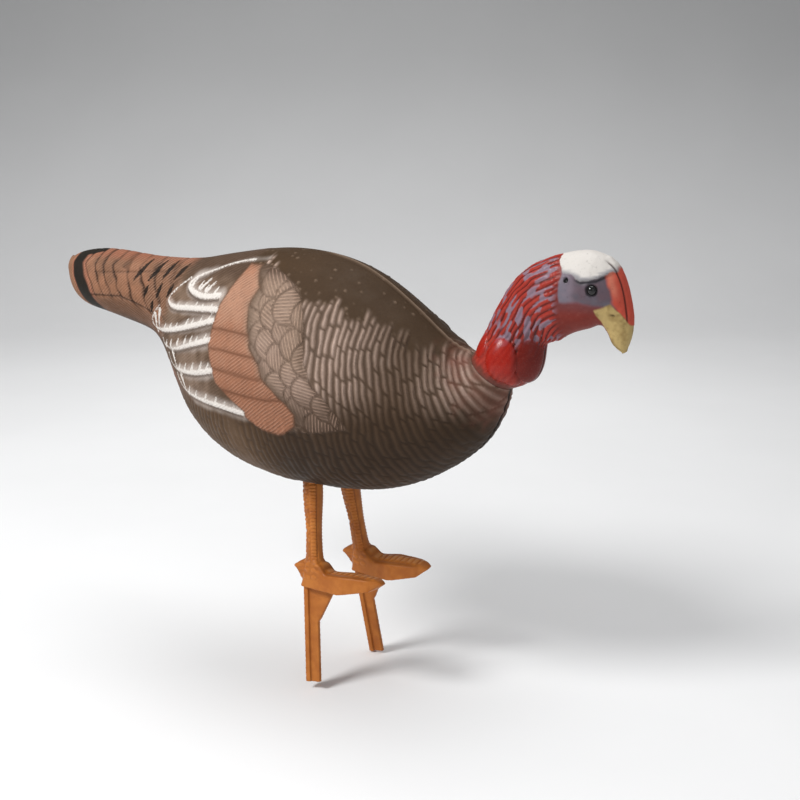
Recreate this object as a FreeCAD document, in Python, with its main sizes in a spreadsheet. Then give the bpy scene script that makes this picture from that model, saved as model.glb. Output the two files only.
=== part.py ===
import FreeCAD
import Part
import Sketcher
import math
import os

# A standing turkey decoy, moulded in plastic.  The body is two hollow halves that meet on the
# middle plane, the head is two more halves on a plug that turns and pulls off, and each leg is
# one moulding of shank, foot and ground stake that turns in a bush and pulls out of the belly.
#
# Frame: +X forward (beak), +Y the bird's left, +Z up.  The origin is at ground level on the
# middle plane, between the two soles.  Lengths are millimetres, angles are degrees.

os.makedirs("parts", exist_ok=True)
doc = FreeCAD.newDocument("turkey_decoy")
V = FreeCAD.Vector

# ---------------------------------------------------------------- driving dimensions
SIZES = {
    "wall": 3.0,
    "head_wall": 2.5,
    # neck joint: the plug leans forward from the vertical and passes through this point
    "neck_lean": 37.0,
    "neck_joint_x": 193.0,
    "neck_joint_z": 251.0,
    "neck_radius": 25.5,
    "neck_ring_height": 14.0,
    "neck_ring_radius": 22.6,
    "neck_rim": 2.0,
    "collar_radius": 19.0,
    "collar_flange_radius": 23.5,
    "collar_flange": 2.5,
    "collar_lip": 2.5,
    "plug_radius": 15.0,
    "plug_length": 34.0,
    "running_fit": 0.06,
    "joint_gap": 0.4,
    "o_ring_wire": 1.6,
    "o_ring_height": 8.0,
    "plug_flange": 3.0,
    # eyes
    "eye_radius": 4.8,
    "eye_x": 302.5,
    "eye_z": 342.5,
    "eye_half_gap": 22.0,
    # dowels across the seams
    "dowel_radius": 2.0,
    "dowel_length": 18.0,
    "dowel_boss": 5.0,
    "dowel_depth": 7.0,
    "dowel_end_gap": 0.5,
    "dowel_end_wall": 1.0,
    "head_dowel_radius": 1.5,
    "head_dowel_length": 12.0,
    "head_dowel_boss": 3.6,
    "head_dowel_depth": 5.2,
    # legs
    "leg_spacing": 86.0,
    "leg_splay": 8.0,
    "leg_lean": 6.0,
    "right_sole_x": 0.5,
    "right_sole_z": 3.0,
    "left_sole_x": 11.0,
    "left_sole_z": -3.0,
    "left_leg_out": 6.0,
    "socket_floor": 96.0,
    "socket_top": 170.0,
    "socket_radius": 15.6,
    "bush_radius": 11.6,
    "bush_lip_radius": 13.2,
    "bush_lip": 2.5,
    "bush_low": 124.0,
    "bush_high": 164.0,
    "bush_end_gap": 0.5,
    "bush_lip_gap": 0.3,
    "peg_radius": 8.5,
    "peg_top": 162.0,
    "shank_centre": 6.5,
    "shoulder_radius": 10.0,
    "shoulder_height": 116.0,
    "knee_radius": 10.6,
    "knee_height": 97.0,
    "shank_radius": 8.5,
    "shank_height": 56.0,
    "ankle_radius": 9.4,
    "ankle_height": 30.0,
    "foot_width": 31.0,
    "foot_middle": 50.0,
    "heel_back": 7.5,
    "heel_width": 17.0,
    "toe_tip": 92.0,
    "toe_height": 18.5,
    "toe_width": 6.0,
    "toe_shoulder": 78.0,
    "sole_length": 42.0,
    "instep_length": 24.0,
    "instep_height": 19.0,
    "foot_height": 22.5,
    "spur_length": 22.0,
    "spur_height": 19.5,
    "spur_top": 30.0,
    "spur_width": 9.0,
    "stake_depth": 104.0,
    "stake_back": 6.0,
    "stake_front": 10.0,
    "stake_width": 9.5,
    "stake_flange": 5.5,
    "stake_web": 4.5,
    "gusset_length": 33.0,
    "gusset_depth": 34.0,
}

# Sections of the body, from the tail tip to the neck joint.  Each one stands on the middle plane
# between a point on the back seam and a point on the belly seam, and has one half width.
BODY_SECTIONS = {
    "tip": (-360, 334, -362, 312, 9),
    "tail_end": (-346, 340, -348, 289, 20),
    "tail_fan": (-312, 346, -314, 275, 28),
    "tail_mid": (-258, 344, -262, 264, 31),
    "tail_root": (-208, 341, -219, 247, 34),
    "rump": (-166, 343, -195, 210, 46),
    "loin": (-132, 349, -170, 169, 62),
    "hip": (-97, 355, -131, 138, 83),
    "back": (-48, 361, -62, 115, 104),
    "saddle": (10, 357, 12, 110, 107),
    "shoulder": (56, 342, 78, 116, 99),
    "breast": (92, 320, 128, 134, 84),
    "chest": (122, 297, 170, 162, 66),
    "crop": (145, 279, 196, 192, 46),
    "neck_root": (159, 271, 208, 219, 31),
}

# Sections of the head, from the neck joint over the crown and round to the tip of the beak,
# between a point on the back of the neck or forehead and a point on the throat or mouth.
HEAD_SECTIONS = {
    "bulge": (183, 283, 237, 248, 26),
    "neck_low": (192, 302, 246, 268, 22),
    "neck_mid": (203, 324, 250, 284, 20.5),
    "neck_top": (220, 348, 261, 289, 21.5),
    "nape": (247, 365, 280, 299, 23.5),
    "cheek": (274, 374, 295, 304, 24.5),
    "crown": (299, 375, 303, 307, 24),
    "brow": (319, 363, 308, 306, 20),
    "forehead": (330, 340, 310, 303, 15),
    "beak_root": (335, 318, 313, 298, 11),
    "beak": (335, 300, 318, 289, 8),
    "beak_tip": (331, 286, 326, 283, 3),
}

SECTION_KEYS = ("top_x", "top_z", "low_x", "low_z", "half")
# Dowels across the seams: each stands just inside the top or the low end of a section.
BODY_DOWELS = (
    ("tail_fan", "top"),
    ("hip", "top"),
    ("shoulder", "top"),
    ("hip", "low"),
    ("saddle", "low"),
    ("breast", "low"),
)
HEAD_DOWELS = (("neck_low", "top"), ("nape", "top"), ("nape", "low"))

sheet = doc.addObject("Spreadsheet::Sheet", "sizes")


def fill_sheet():
    """Write every driving dimension into its own named cell."""
    rows = dict(SIZES)
    for prefix, table in (("body", BODY_SECTIONS), ("head", HEAD_SECTIONS)):
        for station, numbers in table.items():
            for key, number in zip(SECTION_KEYS, numbers):
                rows[f"{prefix}_{station}_{key}"] = number
    for row, (name, number) in enumerate(rows.items(), start=1):
        sheet.set(f"A{row}", name)
        sheet.set(f"B{row}", str(number))
        sheet.setAlias(f"B{row}", name)
    doc.recompute()


def size(name):
    """The number in a named cell."""
    return float(sheet.get(name))


def value(expression):
    """The number that a formula over the cells gives."""
    return float(sheet.evalExpression(expression))


fill_sheet()

# ---------------------------------------------------------------- axes of the joints
LEAN = math.radians(size("neck_lean"))
NECK_AXIS = V(math.sin(LEAN), 0, math.cos(LEAN))
NECK_POINT = V(size("neck_joint_x"), 0, size("neck_joint_z"))
NECK_FRAME = FreeCAD.Placement(NECK_POINT, FreeCAD.Rotation(V(0, 1, 0), size("neck_lean")))


def leg_frame(side):
    """Where a leg's own frame sits: sole at its origin, shank up its Z.  side is -1 for right."""
    name = "right" if side < 0 else "left"
    sole = V(size(name + "_sole_x"), side * size("leg_spacing") / 2, size(name + "_sole_z"))
    splay = FreeCAD.Rotation(V(1, 0, 0), side * size("leg_splay"))
    lean = FreeCAD.Rotation(V(0, 1, 0), -size("leg_lean"))
    return FreeCAD.Placement(sole, splay.multiply(lean))


def socket_frame(side):
    """The leg's frame moved up its axis by as much as the leg stands out of its stop."""
    out = size("left_leg_out") if side > 0 else 0
    return leg_frame(side).multiply(FreeCAD.Placement(V(0, 0, out), FreeCAD.Rotation()))


# ---------------------------------------------------------------- helpers for features
def bind(item, **formulas):
    """Tie properties of a document object to formulas over the sheet."""
    for name, formula in formulas.items():
        item.setExpression(name.replace("__", "."), formula)
    return item


def feature(name, shape):
    """A free-form piece, shaped by Part's own functions."""
    item = doc.addObject("Part::Feature", name)
    item.Shape = shape


def origin_plane(body, role):
    for plane in body.Origin.OriginFeatures:
        if plane.Role == role:
            return plane
    raise ValueError(role)


def sketch_on(body, name, role, offset=None, turn=0):
    """A sketch on one of the body's own origin planes, moved off it by a formula and turned in it."""
    sketch = body.newObject("Sketcher::SketchObject", name)
    sketch.AttachmentSupport = (origin_plane(body, role), [""])
    sketch.MapMode = "FlatFace"
    sketch.AttachmentOffset = FreeCAD.Placement(V(0, 0, 0), FreeCAD.Rotation(V(0, 0, 1), turn))
    if offset is not None:
        sketch.setExpression("AttachmentOffset.Base.z", offset)
    return sketch


def plan(sketch, corners):
    """A closed outline of straight edges, each corner placed by two formulas over the sheet."""
    places = [V(value(across), value(along), 0) for across, along in corners]
    for index, place in enumerate(places):
        sketch.addGeometry(Part.LineSegment(place, places[(index + 1) % len(places)]))
    for index in range(len(places)):
        sketch.addConstraint(Sketcher.Constraint("Coincident", index, 2, (index + 1) % len(places), 1))
    for index, (across, along) in enumerate(corners):
        for kind, formula in (("DistanceX", across), ("DistanceY", along)):
            number = sketch.addConstraint(Sketcher.Constraint(kind, -1, 1, index, 1, value(formula)))
            sketch.setExpression(f"Constraints[{number}]", formula)
    return sketch


def circle(sketch, radius, centre_x=None):
    """A circle on the sketch's X axis, or on its origin."""
    middle = V(value(centre_x), 0, 0) if centre_x else V(0, 0, 0)
    sketch.addGeometry(Part.Circle(middle, V(0, 0, 1), value(radius)))
    number = sketch.addConstraint(Sketcher.Constraint("Radius", 0, value(radius)))
    sketch.setExpression(f"Constraints[{number}]", radius)
    if centre_x is None:
        sketch.addConstraint(Sketcher.Constraint("Coincident", 0, 3, -1, 1))
        return sketch
    sketch.addConstraint(Sketcher.Constraint("PointOnObject", 0, 3, -1))
    number = sketch.addConstraint(Sketcher.Constraint("DistanceX", -1, 1, 0, 3, value(centre_x)))
    sketch.setExpression(f"Constraints[{number}]", centre_x)
    return sketch


def pad(body, name, sketch, length, midplane=True):
    item = body.newObject("PartDesign::Pad", name)
    item.Profile = sketch
    item.Midplane = midplane
    return bind(item, Length=length)


def turned(name, profile):
    """A body turned about its Z from a profile of (radius, height) formulas."""
    body = doc.addObject("PartDesign::Body", name)
    sketch = plan(sketch_on(body, name + "_profile", "XZ_Plane"), profile)
    turn = body.newObject("PartDesign::Revolution", name + "_turn")
    turn.Profile = sketch
    turn.ReferenceAxis = (sketch, ["V_Axis"])
    turn.Angle = 360
    return body


# ---------------------------------------------------------------- free-form skins
# SAMPLES is the number of steps down one side of a section.  WIDEST and RIDGE shape a section,
# SOLID_BEAK counts the last head sections that are not hollow, and PAST_MIDDLE and PAST_END are
# how far a cutting shape reaches beyond the face it has to clear.
SAMPLES = 8
BODY_WIDEST = 0.46
BODY_RIDGE = 1.2
HEAD_WIDEST = 0.5
HEAD_RIDGE = 1.0
SOLID_BEAK = 4
PAST_MIDDLE = 2
PAST_END = 5
STEEPEST = 2.5


def half_section(top, low, half, widest, ridge, beyond):
    """One side of an egg-shaped section: a curve from top to low, closed by a straight line.

    A section of a hollow closes a little beyond the middle plane.
    The widest place is a share of the way up, and ridge sharpens the curve where it meets top.
    """
    up = top - low
    curve = []
    for step in range(SAMPLES + 1):
        turn = math.pi * step / SAMPLES
        if step in (0, SAMPLES):
            out = 0.0
        elif turn < math.pi / 2:
            out = half * math.sin(turn) ** ridge
        else:
            out = half * math.sin(turn)
        share = 1 - widest if turn < math.pi / 2 else widest
        curve.append(low + up * (widest + share * math.cos(turn)) + V(0, -out, 0))
    skin = Part.BSplineCurve()
    skin.interpolate(curve)
    if not beyond:
        return Part.Wire([skin.toShape(), Part.LineSegment(low, top).toShape()])
    low_out, top_out = low + V(0, beyond, 0), top + V(0, beyond, 0)
    back = [Part.LineSegment(*ends).toShape() for ends in ((low, low_out), (low_out, top_out), (top_out, top))]
    return Part.Wire([skin.toShape()] + back)


def stations(prefix, table):
    """The sheet's sections as (top, low, half width)."""
    found = []
    for name in table:
        top_x, top_z, low_x, low_z, half = (size(f"{prefix}_{name}_{key}") for key in SECTION_KEYS)
        found.append((V(top_x, 0, top_z), V(low_x, 0, low_z), half))
    return found


def neck_section(height, radius):
    """The round section at a height above the neck joint."""
    middle = NECK_POINT + NECK_AXIS * height
    back = V(-NECK_AXIS.z, 0, NECK_AXIS.x)
    return (middle + back * radius, middle - back * radius, radius)


def steepness(across, before, after):
    """How much longer the wall is along a section than square to a seam, up to STEEPEST."""
    along = (after - before).normalize()
    return 1 / max(across.cross(along).Length, 1 / STEEPEST)


def inset_sections(sections, inset):
    """The same sections drawn in so that the wall keeps one thickness, square to the skin."""
    found = []
    for index, (top, low, half) in enumerate(sections):
        before = sections[max(index - 1, 0)]
        after = sections[min(index + 1, len(sections) - 1)]
        down = (low - top).normalize()
        top_inset = inset * steepness(down, before[0], after[0])
        low_inset = inset * steepness(down, before[1], after[1])
        run = ((after[0] + after[1]) - (before[0] + before[1])).Length / 2
        side_inset = inset * math.hypot(1, (after[2] - before[2]) / run)
        found.append((top + down * top_inset, low - down * low_inset, half - side_inset))
    return found


def right_half(sections, widest, ridge, beyond=0):
    """A solid right half lofted through the sections."""
    wires = [half_section(top, low, half, widest, ridge, beyond) for top, low, half in sections]
    return Part.makeLoft(wires, True, False)


def hollowed(outside, inside):
    """The outside less the inside, which has to lie within it but for its open end."""
    shell = outside.cut(inside)
    if not 0.05 < shell.Volume / outside.Volume < 0.6:
        raise RuntimeError("a hollow did not cut")
    return shell


def dowel_places(prefix, table, depth):
    """Where the dowels stand: a depth inside the seam, on their sections."""
    places = []
    for station, end in table:
        top, low = (V(size(f"{prefix}_{station}_{e}_x"), 0, size(f"{prefix}_{station}_{e}_z"))
                    for e in ("top", "low"))
        start, far = (top, low) if end == "top" else (low, top)
        places.append(start + (far - start).normalize() * depth)
    return places


def add_dowel_bosses(shell, outer, places, prefix):
    """Fuse a drilled boss for each dowel to the inside of a right half."""
    depth = size(prefix + "dowel_length") / 2 + size("dowel_end_gap")
    length = depth + size("dowel_end_wall")
    for place in places:
        boss = Part.makeCylinder(size(prefix + "dowel_boss"), length, place, V(0, -1, 0))
        shell = shell.fuse(boss.common(outer))
    for place in places:
        radius = size(prefix + "dowel_radius") + size("running_fit")
        shell = shell.cut(Part.makeCylinder(radius, depth, place, V(0, -1, 0)))
    return shell


def neck_cylinder(radius, low, high):
    """A cylinder on the neck axis between two heights above the neck joint."""
    return Part.makeCylinder(radius, high - low, NECK_POINT + NECK_AXIS * low, NECK_AXIS)


def leg_cylinder(side, radius, low, high):
    """A cylinder on a leg socket's axis between two heights above a fully seated sole."""
    shape = Part.makeCylinder(radius, high - low, V(size("shank_centre"), 0, low), V(0, 0, 1))
    shape.Placement = socket_frame(side).multiply(shape.Placement)
    return shape


def body_sections():
    return stations("body", BODY_SECTIONS) + [neck_section(0, size("neck_radius"))]


def mirrored(shape):
    return shape.mirror(V(0, 0, 0), V(0, 1, 0))


def make_body_shells(outside):
    """Two hollow halves, with a bonded rim round the neck hole and a hole for each leg socket."""
    hollow = inset_sections(body_sections(), size("wall"))[1:]
    hollow[-1] = neck_section(1, size("neck_radius") - size("wall"))
    inside = right_half(hollow, BODY_WIDEST, BODY_RIDGE, PAST_MIDDLE)
    ring_radius, ring_foot = size("neck_ring_radius"), -size("neck_ring_height")
    rim = neck_cylinder(ring_radius + size("neck_rim"), ring_foot, 0).common(outside)
    right = hollowed(outside, inside).fuse(rim)
    right = right.cut(neck_cylinder(ring_radius, ring_foot, PAST_END))
    right = add_dowel_bosses(right, outside, dowel_places("body", BODY_DOWELS, size("dowel_depth")), "")
    for side, name in ((-1, "right"), (1, "left")):
        half = right if side < 0 else mirrored(right)
        socket = leg_cylinder(side, size("socket_radius"), size("socket_floor"), size("socket_top"))
        feature("body_shell_" + name, half.cut(socket).removeSplitter())


def make_leg_socket(side, name, outside):
    """A cup bonded in the belly, trimmed flush with the skin, with a groove for the bush's lip."""
    fit = size("running_fit")
    cup = leg_cylinder(side, size("socket_radius"), size("socket_floor"), size("socket_top"))
    bore_top = size("bush_high") + size("bush_end_gap")
    lip_low = size("bush_high") - size("bush_lip") - size("bush_lip_gap")
    bore = leg_cylinder(side, size("bush_radius") + fit, size("socket_floor") - PAST_END, bore_top)
    groove = leg_cylinder(side, size("bush_lip_radius") + fit, lip_low, bore_top)
    skin = outside if side < 0 else mirrored(outside)
    feature("leg_socket_" + name, cup.common(skin).cut(bore).cut(groove))


def make_head_shells():
    """Two hollow halves from the plug's flange up the neck and over to the beak."""
    base = 2 * size("joint_gap") + size("collar_flange")
    sections = [neck_section(base, size("neck_radius"))] + stations("head", HEAD_SECTIONS)
    outside = right_half(sections, HEAD_WIDEST, HEAD_RIDGE)
    hollow = inset_sections(sections, size("head_wall"))[:-SOLID_BEAK]
    hollow[0] = neck_section(base - 1, size("neck_radius") - size("head_wall"))
    right = hollowed(outside, right_half(hollow, HEAD_WIDEST, HEAD_RIDGE, PAST_MIDDLE))
    places = dowel_places("head", HEAD_DOWELS, size("head_dowel_depth"))
    right = add_dowel_bosses(right, outside, places, "head_")
    eye = Part.makeSphere(size("eye_radius") + size("running_fit"), eye_place(-1))
    right = right.cut(eye)
    feature("head_shell_right", right)
    feature("head_shell_left", mirrored(right))


def make_dowels(name, places, prefix):
    """The dowels across one pair of halves, as separate solids in one node."""
    pins = []
    for place in places:
        pin = doc.addObject("Part::Cylinder", name + "_dowel")
        bind(pin, Radius=f"sizes.{prefix}dowel_radius", Height=f"sizes.{prefix}dowel_length")
        start = place + V(0, size(prefix + "dowel_length") / 2, 0)
        pin.Placement = FreeCAD.Placement(start, FreeCAD.Rotation(V(1, 0, 0), 90))
        pins.append(pin)
    group = doc.addObject("Part::Compound", name)
    group.Links = pins
    return group


def eye_place(side):
    return V(size("eye_x"), side * size("eye_half_gap"), size("eye_z"))


def make_eye(side, name):
    eye = doc.addObject("Part::Sphere", "eye_" + name)
    bind(eye, Radius="sizes.eye_radius")
    bind(eye, Placement__Base__x="sizes.eye_x")
    bind(eye, Placement__Base__y=f"{side} * sizes.eye_half_gap")
    bind(eye, Placement__Base__z="sizes.eye_z")


# ---------------------------------------------------------------- neck joint
def make_neck_ring():
    """The fixed bearing ring, bonded in the body's neck hole."""
    ring = turned("neck_ring", [
        ("sizes.collar_radius + sizes.running_fit", "-sizes.neck_ring_height"),
        ("sizes.neck_ring_radius", "-sizes.neck_ring_height"),
        ("sizes.neck_ring_radius", "0"),
        ("sizes.collar_radius + sizes.running_fit", "0"),
    ])
    ring.Placement = NECK_FRAME


def make_neck_collar():
    """The swivel collar: a flange above the ring and a snap lip below it, bored for the plug."""
    low = "-sizes.neck_ring_height - sizes.joint_gap"
    bore = "sizes.plug_radius + sizes.running_fit"
    collar = turned("neck_collar", [
        (bore, low + " - sizes.collar_lip"),
        ("sizes.collar_radius + 1", low + " - sizes.collar_lip"),
        ("sizes.collar_radius + 2", low),
        ("sizes.collar_radius", low),
        ("sizes.collar_radius", "sizes.joint_gap"),
        ("sizes.collar_flange_radius", "sizes.joint_gap"),
        ("sizes.collar_flange_radius", "sizes.joint_gap + sizes.collar_flange"),
        (bore, "sizes.joint_gap + sizes.collar_flange"),
    ])
    collar.Placement = NECK_FRAME


def make_neck_plug():
    """The head's hollow plug: a flange bonded in the neck, and a groove for the seal ring."""
    base = "2 * sizes.joint_gap + sizes.collar_flange"
    inner = "sizes.plug_radius - 3.5"
    groove = "sizes.plug_radius - sizes.o_ring_wire - 0.1"
    plug = turned("neck_plug", [
        (inner, "-sizes.plug_length + 6"),
        ("sizes.plug_radius - 1.5", "-sizes.plug_length + 6"),
        ("sizes.plug_radius", "-sizes.plug_length + 8"),
        ("sizes.plug_radius", "-sizes.o_ring_height - sizes.o_ring_wire / 2 - 0.1"),
        (groove, "-sizes.o_ring_height - sizes.o_ring_wire / 2 - 0.1"),
        (groove, "-sizes.o_ring_height + sizes.o_ring_wire / 2 + 0.1"),
        ("sizes.plug_radius", "-sizes.o_ring_height + sizes.o_ring_wire / 2 + 0.1"),
        ("sizes.plug_radius", base),
        ("sizes.neck_radius - sizes.head_wall - 0.1", base),
        ("sizes.neck_radius - sizes.head_wall - 0.1", base + " + sizes.plug_flange"),
        (inner, base + " + sizes.plug_flange"),
    ])
    plug.Placement = NECK_FRAME


def make_o_ring():
    ring = doc.addObject("Part::Torus", "neck_o_ring")
    bind(ring, Radius1="sizes.plug_radius - sizes.o_ring_wire / 2")
    bind(ring, Radius2="sizes.o_ring_wire / 2")
    ring.Placement = NECK_FRAME.multiply(FreeCAD.Placement(V(0, 0, -size("o_ring_height")), FreeCAD.Rotation()))


# ---------------------------------------------------------------- legs
def make_leg_bush(side, name):
    """The grip bush that turns in the socket and holds the leg's peg."""
    bush = turned("leg_bush_" + name, [
        ("sizes.peg_radius + sizes.running_fit", "sizes.bush_low"),
        ("sizes.bush_radius", "sizes.bush_low"),
        ("sizes.bush_radius", "sizes.bush_high - sizes.bush_lip"),
        ("sizes.bush_lip_radius", "sizes.bush_high - sizes.bush_lip"),
        ("sizes.bush_lip_radius", "sizes.bush_high"),
        ("sizes.peg_radius + sizes.running_fit", "sizes.bush_high"),
    ])
    middle = FreeCAD.Placement(V(size("shank_centre"), 0, 0), FreeCAD.Rotation())
    bush.Placement = socket_frame(side).multiply(middle)


def pad_foot(leg):
    """The foot block: its side outline padded to full width, then trimmed to its plan."""
    side_view = plan(sketch_on(leg, "foot_side", "XZ_Plane", turn=-size("leg_lean")), [
        ("-sizes.heel_back", "2"),
        ("-sizes.heel_back + 2", "0"),
        ("sizes.sole_length", "0"),
        ("sizes.toe_shoulder", "sizes.toe_height / 2"),
        ("sizes.toe_tip", "sizes.toe_height"),
        ("sizes.toe_shoulder + 7", "sizes.foot_height"),
        ("sizes.foot_middle", "sizes.foot_height - 1"),
        ("sizes.instep_length", "sizes.instep_height"),
        ("sizes.shank_centre + sizes.ankle_radius", "sizes.ankle_height - 2"),
        ("-2", "sizes.ankle_height - 2"),
    ])
    pad(leg, "foot_block", side_view, "sizes.foot_width")
    for side in (-1, 1):
        trim = plan(sketch_on(leg, "foot_trim_" + ("right" if side < 0 else "left"), "XY_Plane"), [
            ("-sizes.heel_back - 1", f"{side} * sizes.heel_width / 2"),
            ("sizes.shank_centre + 6", f"{side} * (sizes.heel_width / 2 + 2.5)"),
            ("sizes.foot_middle", f"{side} * sizes.foot_width / 2"),
            ("sizes.toe_shoulder", f"{side} * sizes.foot_width * 0.37"),
            ("sizes.toe_tip + 6", f"{side} * sizes.toe_width / 2"),
            ("sizes.toe_tip + 6", f"{side} * (sizes.foot_width / 2 + 2)"),
            ("-sizes.heel_back - 1", f"{side} * (sizes.foot_width / 2 + 2)"),
        ])
        pocket = leg.newObject("PartDesign::Pocket", trim.Name + "_cut")
        pocket.Profile = trim
        pocket.Midplane = True
        pocket.Length = 100


def pad_spur(leg):
    """The hind toe at the back of the ankle."""
    outline = plan(sketch_on(leg, "spur_side", "XZ_Plane", turn=-size("leg_lean")), [
        ("-sizes.heel_back + 2", "2"),
        ("-sizes.heel_back - 5", "10"),
        ("-sizes.spur_length + 3", "sizes.spur_height - 2"),
        ("-sizes.spur_length", "sizes.spur_height"),
        ("-sizes.spur_length + 6", "sizes.spur_top - 5"),
        ("-sizes.heel_back", "sizes.spur_top"),
        ("2", "sizes.spur_top + 4"),
    ])
    pad(leg, "spur", outline, "sizes.spur_width")


def loft_shank(leg):
    """The round shank, waisted above the ankle and thicker at the knee."""
    rings = []
    for name in ("ankle", "shank", "knee", "shoulder"):
        ring = sketch_on(leg, name + "_ring", "XY_Plane", f"sizes.{name}_height")
        rings.append(circle(ring, f"sizes.{name}_radius", "sizes.shank_centre"))
    foot_ring = sketch_on(leg, "instep_ring", "XY_Plane", "6")
    circle(foot_ring, "sizes.ankle_radius + 0.6", "sizes.shank_centre")
    loft = leg.newObject("PartDesign::AdditiveLoft", "shank")
    loft.Profile = foot_ring
    loft.Sections = rings
    top = sketch_on(leg, "shoulder_top", "XY_Plane", "sizes.shoulder_height")
    pad(leg, "shoulder", circle(top, "sizes.shoulder_radius", "sizes.shank_centre"),
        "sizes.bush_low - sizes.joint_gap - sizes.shoulder_height", False)
    root = sketch_on(leg, "peg_root", "XY_Plane", "sizes.shoulder_height")
    pad(leg, "peg", circle(root, "sizes.peg_radius", "sizes.shank_centre"),
        "sizes.peg_top - sizes.shoulder_height", False)


def pad_stake(leg):
    """The ground stake: a flange down the back, a web in front of it and a gusset under the sole."""
    flange = plan(sketch_on(leg, "stake_flange_side", "XZ_Plane"), [
        ("-sizes.stake_back", "5"),
        ("-sizes.stake_back", "-sizes.stake_depth"),
        ("-sizes.stake_back + sizes.stake_flange", "-sizes.stake_depth"),
        ("-sizes.stake_back + sizes.stake_flange", "5"),
    ])
    pad(leg, "stake_flange_pad", flange, "sizes.stake_width")
    web = plan(sketch_on(leg, "stake_web_side", "XZ_Plane"), [
        ("-sizes.stake_back + 1", "4"),
        ("-sizes.stake_back + 1", "-sizes.stake_depth"),
        ("sizes.stake_front", "-sizes.stake_depth"),
        ("sizes.stake_front", "-sizes.gusset_depth - 4"),
        ("sizes.stake_front + 3", "-sizes.gusset_depth"),
        ("sizes.gusset_length", "1"),
        ("sizes.gusset_length", "4"),
    ])
    pad(leg, "stake_web_pad", web, "sizes.stake_web")


def make_leg(side, name):
    """One moulding of shank, foot and ground stake."""
    leg = doc.addObject("PartDesign::Body", "leg_" + name)
    pad_foot(leg)
    pad_spur(leg)
    loft_shank(leg)
    pad_stake(leg)
    leg.Placement = leg_frame(side)


# ---------------------------------------------------------------- the whole decoy
def build():
    outside = right_half(body_sections(), BODY_WIDEST, BODY_RIDGE)
    make_body_shells(outside)
    make_dowels("body_seam_pins", dowel_places("body", BODY_DOWELS, size("dowel_depth")), "")
    make_neck_ring()
    make_neck_collar()
    make_neck_plug()
    make_o_ring()
    make_head_shells()
    make_dowels("head_seam_pins", dowel_places("head", HEAD_DOWELS, size("head_dowel_depth")), "head_")
    for side, name in ((-1, "right"), (1, "left")):
        make_eye(side, name)
        make_leg_socket(side, name, outside)
        make_leg_bush(side, name)
        make_leg(side, name)
    doc.recompute()


NODES = (
    "body_shell_right", "body_shell_left", "body_seam_pins", "neck_ring", "neck_collar",
    "neck_plug", "neck_o_ring", "head_shell_right", "head_shell_left", "head_seam_pins",
    "eye_right", "eye_left", "leg_socket_right", "leg_socket_left", "leg_bush_right",
    "leg_bush_left", "leg_right", "leg_left",
)


def check_and_export():
    """Stop on any failed object or bad shape, then write each sub-part's own STEP file."""
    for item in doc.Objects:
        if "Invalid" in item.State or "Error" in item.State:
            raise RuntimeError(f"{item.Name} failed: {item.State}")
    for name in NODES:
        shape = doc.getObject(name).Shape
        if shape.isNull() or not shape.isValid():
            raise RuntimeError(name + " has no valid shape")
    for name in NODES:
        item = doc.getObject(name)
        item.Label = name
        item.Shape.exportStep(f"parts/{name}.step")
        print(name, len(item.Shape.Solids), "solid(s)", round(item.Shape.Volume / 1000, 1), "cm3")


build()
check_and_export()
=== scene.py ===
from itertools import product

import bmesh
import bpy
import numpy as np
from mathutils import Matrix, Vector


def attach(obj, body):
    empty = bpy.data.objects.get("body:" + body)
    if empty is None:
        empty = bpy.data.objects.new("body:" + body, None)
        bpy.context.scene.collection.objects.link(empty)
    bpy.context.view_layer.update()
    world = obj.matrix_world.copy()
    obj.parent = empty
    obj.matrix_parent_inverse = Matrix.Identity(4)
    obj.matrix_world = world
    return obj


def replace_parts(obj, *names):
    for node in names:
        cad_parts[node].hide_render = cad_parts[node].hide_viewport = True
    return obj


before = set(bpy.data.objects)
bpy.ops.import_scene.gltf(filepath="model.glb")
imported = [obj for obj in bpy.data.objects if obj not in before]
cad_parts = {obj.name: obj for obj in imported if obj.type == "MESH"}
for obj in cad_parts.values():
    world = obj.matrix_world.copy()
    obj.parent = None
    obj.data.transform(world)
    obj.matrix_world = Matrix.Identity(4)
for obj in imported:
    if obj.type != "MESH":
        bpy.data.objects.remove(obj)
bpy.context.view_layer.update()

# The moulded skins, paint and studio of a standing turkey decoy.  Shapes are worked out in
# millimetres on the right half, mirrored for the left, and made into meshes in metres.

MM = 0.001
FAR = 50.0
FULL_TURN = 6.28318
SHARP_ANGLE = np.radians(62)
DETAIL = 1.0

# ---- sections of the skins
# Each row is a section between a point on the back seam and one on the low seam:
# top x, top z, low x, low z, half width.
BODY_SECTIONS = (
    (-360, 334, -362, 312, 9),
    (-346, 340, -348, 289, 20),
    (-312, 346, -314, 275, 28),
    (-258, 344, -262, 264, 31),
    (-208, 341, -219, 247, 34),
    (-166, 343, -195, 210, 46),
    (-132, 349, -170, 169, 62),
    (-97, 355, -131, 138, 83),
    (-48, 361, -62, 115, 104),
    (10, 357, 12, 110, 107),
    (56, 342, 78, 116, 99),
    (92, 320, 128, 134, 84),
    (122, 297, 170, 162, 66),
    (145, 279, 196, 192, 46),
    (159, 271, 208, 219, 31),
)
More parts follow.
